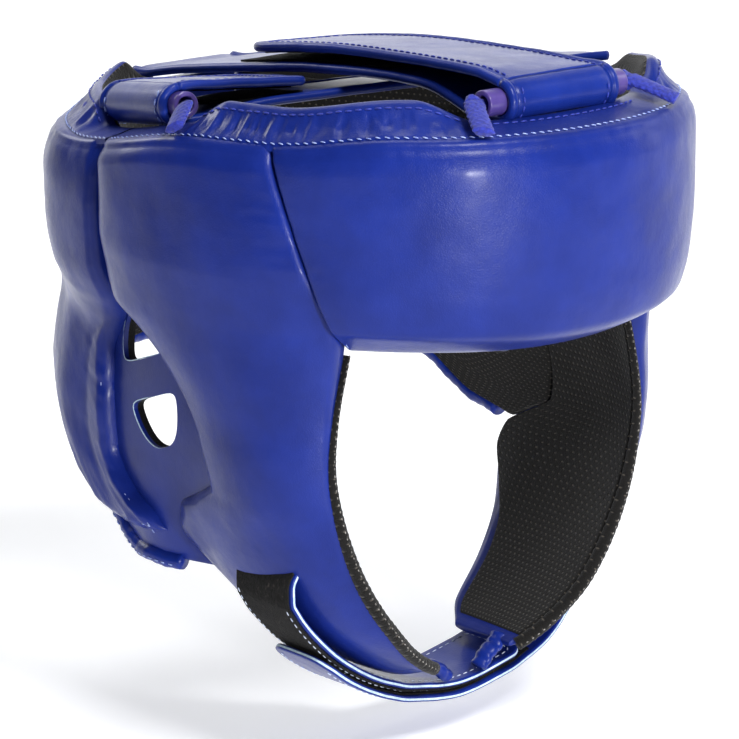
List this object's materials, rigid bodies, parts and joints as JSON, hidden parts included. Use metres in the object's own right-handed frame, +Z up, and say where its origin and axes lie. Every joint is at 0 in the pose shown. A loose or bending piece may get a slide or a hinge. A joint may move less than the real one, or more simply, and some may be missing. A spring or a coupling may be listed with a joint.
{
  "type": "boxing headgear",
  "caption": "Padded open-face headgear with cheek guards, ear holes, and hook-and-loop straps over the crown, behind the head and under the chin",
  "frame": {"origin": "middle of the head cavity at brow height, where the wearer's head sits", "axes": "-Y is where the wearer faces, +X is the wearer's left, +Z is up"},
  "size_m": [0.2108, 0.2466, 0.2363],
  "materials": {
    "cover_leather": "satin synthetic leather with a fine grain",
    "strap_leather": "satin synthetic leather with raw pale edges at the chin",
    "binding_leather": "satin bias binding, stitched",
    "mesh_lining": "matt black spacer mesh with small pale dots",
    "foam_core": "matt closed-cell foam",
    "hook_and_loop": "matt fuzzy hook and loop tape",
    "tube_plastic": "smooth translucent violet tube",
    "cord_braid": "braided elastic cord"
  },
  "bodies": {
    "shell": {"forehead_cover": "cover_leather", "forehead_foam": "foam_core", "forehead_lining": "mesh_lining", "right_side_cover": "cover_leather", "right_side_foam": "foam_core", "right_side_lining": "mesh_lining", "left_side_cover": "cover_leather", "left_side_foam": "foam_core", "left_side_lining": "mesh_lining", "right_wing_panel": "cover_leather", "right_wing_lining": "mesh_lining", "right_nape_binding": "binding_leather", "right_rear_cover": "cover_leather", "right_rear_foam": "foam_core", "left_wing_panel": "cover_leather", "left_wing_lining": "mesh_lining", "left_nape_binding": "binding_leather", "left_rear_cover": "cover_leather", "left_rear_foam": "foam_core", "rear_yoke": "cover_leather", "front_right_collar": "cover_leather", "front_left_collar": "cover_leather", "rear_right_collar": "cover_leather", "rear_left_collar": "cover_leather", "front_tube": "tube_plastic", "side_tube": "tube_plastic", "front_cord": "cord_braid", "side_cord": "cord_braid", "crown_strap": "strap_leather", "cross_strap": "strap_leather", "crown_loop_tape": "hook_and_loop", "cross_loop_tape": "hook_and_loop", "rear_loop_tape": "hook_and_loop", "right_chin_tab": "binding_leather", "left_chin_tab": "binding_leather"},
    "crown_tail": {"crown_tail": "strap_leather", "crown_hook_tape": "hook_and_loop", "crown_tail_piping": "binding_leather"},
    "cross_tail": {"cross_tail": "strap_leather", "cross_hook_tape": "hook_and_loop"},
    "rear_strap": {"rear_strap": "strap_leather", "rear_hook_tape": "hook_and_loop"},
    "left_chin_strap": {"left_chin_strap": "strap_leather", "left_chin_hook_tape": "hook_and_loop"},
    "right_chin_strap": {"right_chin_strap": "strap_leather", "right_chin_loop_tape": "hook_and_loop"}
  },
  "joints": [
    {"name": "crown_tail_peel", "type": "hinge", "parent": "shell", "child": "crown_tail", "pos_m": [0, -0.09465, 0.08215], "axis": [1, 0, 0], "range_deg": [0, 110]},
    {"name": "cross_tail_peel", "type": "hinge", "parent": "shell", "child": "cross_tail", "pos_m": [-0.07666, 0.02692, 0.07075], "axis": [-0.2393, -0.9596, 0.1478], "range_deg": [0, 110]},
    {"name": "rear_strap_peel", "type": "hinge", "parent": "shell", "child": "rear_strap", "pos_m": [0.06921, 0.09945, -0.008], "axis": [0, 0, -1], "range_deg": [0, 120]},
    {"name": "chin_strap_open", "type": "hinge", "parent": "shell", "child": "left_chin_strap", "pos_m": [0.07853, -0.037, -0.10025], "axis": [0, -1, 0], "range_deg": [0, 100]},
    {"name": "right_chin_strap_drop", "type": "hinge", "parent": "shell", "child": "right_chin_strap", "pos_m": [-0.07853, -0.037, -0.10025], "axis": [0, 1, 0], "range_deg": [0, 25]}
  ],
  "couplings": [
    {"joint": "right_chin_strap_drop", "follows": "chin_strap_open", "ratio": 0.25}
  ]
}
